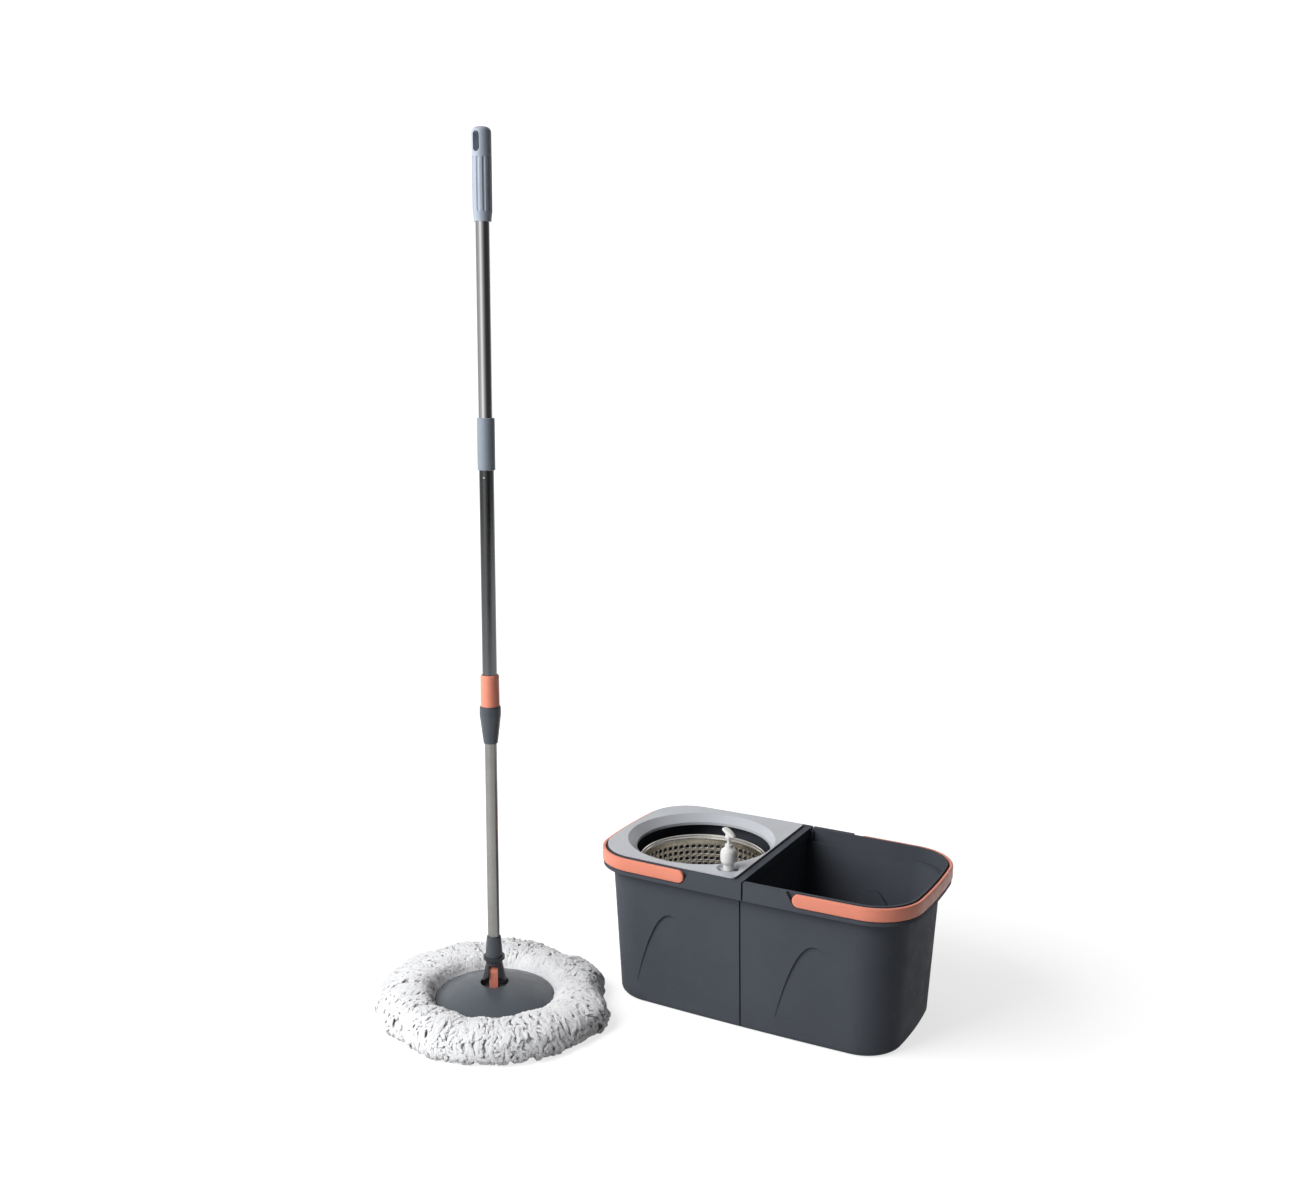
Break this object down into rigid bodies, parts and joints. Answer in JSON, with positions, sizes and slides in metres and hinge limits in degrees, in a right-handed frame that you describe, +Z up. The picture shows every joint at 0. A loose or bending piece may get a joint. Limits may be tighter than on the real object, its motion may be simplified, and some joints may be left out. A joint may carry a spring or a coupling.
{
  "type": "spin mop",
  "caption": "Two-part mop bucket with a perforated wringer basket and soap pump, and a telescopic hand-press mop with a tilting round fringed head.",
  "frame": {"origin": "on the base of the water bucket, a quarter of the bucket pair's length to the right of the seam", "axes": "+Z up, +X along the bucket pair from the spin bucket to the water bucket, -Y towards the front and the mop"},
  "size_m": [0.7021, 0.5015, 1.156],
  "materials": {
    "bucket": "satin",
    "coral": "satin",
    "tray": "satin",
    "stainless": "polished",
    "steel_pin": "plain",
    "chrome_tube": "polished",
    "satin_tube": "satin",
    "dark_plastic": "satin",
    "grip_plastic": "satin",
    "white_plastic": "satin",
    "bottle": "translucent",
    "nylon": "plain",
    "seal": "plain",
    "fringe": "pile"
  },
  "bodies": {
    "water_bucket": {"water_bucket": "bucket"},
    "right_handle": {"right_handle": "coral"},
    "spin_bucket": {"spin_bucket": "bucket", "basket_spindle": "steel_pin", "spindle_washer": "nylon"},
    "left_handle": {"left_handle": "coral"},
    "tray": {"wringer_tray": "tray", "detergent_bottle": "bottle", "collar_seal": "seal", "pump_cylinder": "white_plastic", "pump_ball": "steel_pin", "dip_tube": "nylon", "pump_spring": "steel_pin"},
    "pump_collar": {"pump_collar": "white_plastic"},
    "pump_stem": {"pump_stem": "white_plastic"},
    "pump_head": {"pump_head": "white_plastic"},
    "basket_bush": {"spindle_bush": "nylon", "bush_cap": "dark_plastic"},
    "basket": {"spin_basket": "stainless", "basket_hub": "dark_plastic", "basket_seat": "dark_plastic", "basket_rivets": "steel_pin"},
    "refill": {"fringe": "fringe", "refill_ring": "white_plastic"},
    "mop_head": {"mop_disc": "dark_plastic", "hinge_block": "coral", "block_screws": "steel_pin"},
    "lower_pole": {"yoke": "dark_plastic", "hinge_pin": "steel_pin", "pole_socket": "dark_plastic", "socket_rivet": "steel_pin", "lower_tube": "satin_tube", "clutch_housing": "nylon", "ratchet_ring": "steel_pin", "drive_nut": "nylon", "clutch_spring": "steel_pin", "clutch_cap": "nylon"},
    "top_guide": {"top_guide": "nylon"},
    "push_handle": {"drive_rod": "steel_pin", "rod_stop": "steel_pin", "rod_rivet": "steel_pin", "lock_nut": "dark_plastic", "lower_guide": "nylon", "lock_ring": "dark_plastic", "middle_tube": "chrome_tube", "joint_plug": "nylon", "joint_sleeve": "grip_plastic", "upper_tube": "chrome_tube", "end_grip": "grip_plastic"},
    "lock_collar": {"lock_collar": "coral"}
  },
  "joints": [
    {"name": "right_handle_swing", "type": "hinge", "parent": "water_bucket", "child": "right_handle", "pos_m": [-0.03, 0, 0.20345], "axis": [0, -1, 0], "range_deg": [0, 120]},
    {"name": "spin_bucket_unhook", "type": "slide", "parent": "water_bucket", "child": "spin_bucket", "axis": [0, 0, 1], "range_m": [0, 0.04]},
    {"name": "left_handle_swing", "type": "hinge", "parent": "spin_bucket", "child": "left_handle", "pos_m": [-0.202, 0, 0.20345], "axis": [0, 1, 0], "range_deg": [0, 120]},
    {"name": "tray_lift", "type": "slide", "parent": "spin_bucket", "child": "tray", "axis": [0, 0, 1], "range_m": [0, 0.04]},
    {"name": "pump_collar_turn", "type": "hinge", "parent": "tray", "child": "pump_collar", "pos_m": [-0.1435, -0.091, 0.23], "axis": [0, 0, 1], "range_deg": [0, 540]},
    {"name": "pump_press", "type": "slide", "parent": "tray", "child": "pump_stem", "axis": [0, 0, -1], "range_m": [0, 0.007], "stiffness_N_per_m": 200, "springref_m": -0.01, "deforming": ["pump_spring"]},
    {"name": "pump_head_turn", "type": "hinge", "parent": "pump_stem", "child": "pump_head", "pos_m": [-0.1435, -0.091, 0.26], "axis": [0, 0, 1], "continuous": true},
    {"name": "basket_lift", "type": "slide", "parent": "spin_bucket", "child": "basket_bush", "axis": [0, 0, 1], "range_m": [0, 0.11]},
    {"name": "basket_spin", "type": "hinge", "parent": "basket_bush", "child": "basket", "pos_m": [-0.223, -0.004, 0.12], "axis": [0, 0, 1], "continuous": true},
    {"name": "mop_lift", "type": "slide", "parent": "water_bucket", "child": "refill", "axis": [0, 0, 1], "range_m": [0, 0.14]},
    {"name": "refill_release", "type": "slide", "parent": "refill", "child": "mop_head", "axis": [0, 0, 1], "range_m": [0, 0.03]},
    {"name": "head_tilt", "type": "hinge", "parent": "mop_head", "child": "lower_pole", "pos_m": [-0.431, -0.221, 0.058], "axis": [0.8829, 0.4695, 0], "range_deg": [-72, 72]},
    {"name": "head_spin", "type": "hinge", "parent": "lower_pole", "child": "top_guide", "pos_m": [-0.431, -0.221, 0.48], "axis": [0, 0, 1], "range_deg": [-541, 1]},
    {"name": "handle_push", "type": "slide", "parent": "top_guide", "child": "push_handle", "axis": [0, 0, 1], "range_m": [-0.15, 0]},
    {"name": "lock_collar_turn", "type": "hinge", "parent": "push_handle", "child": "lock_collar", "pos_m": [-0.431, -0.221, 0.45], "axis": [0, 0, 1], "range_deg": [0, 60]}
  ],
  "couplings": [
    {"joint": "head_spin", "follows": "handle_push", "rad_per_m": 62.832}
  ]
}
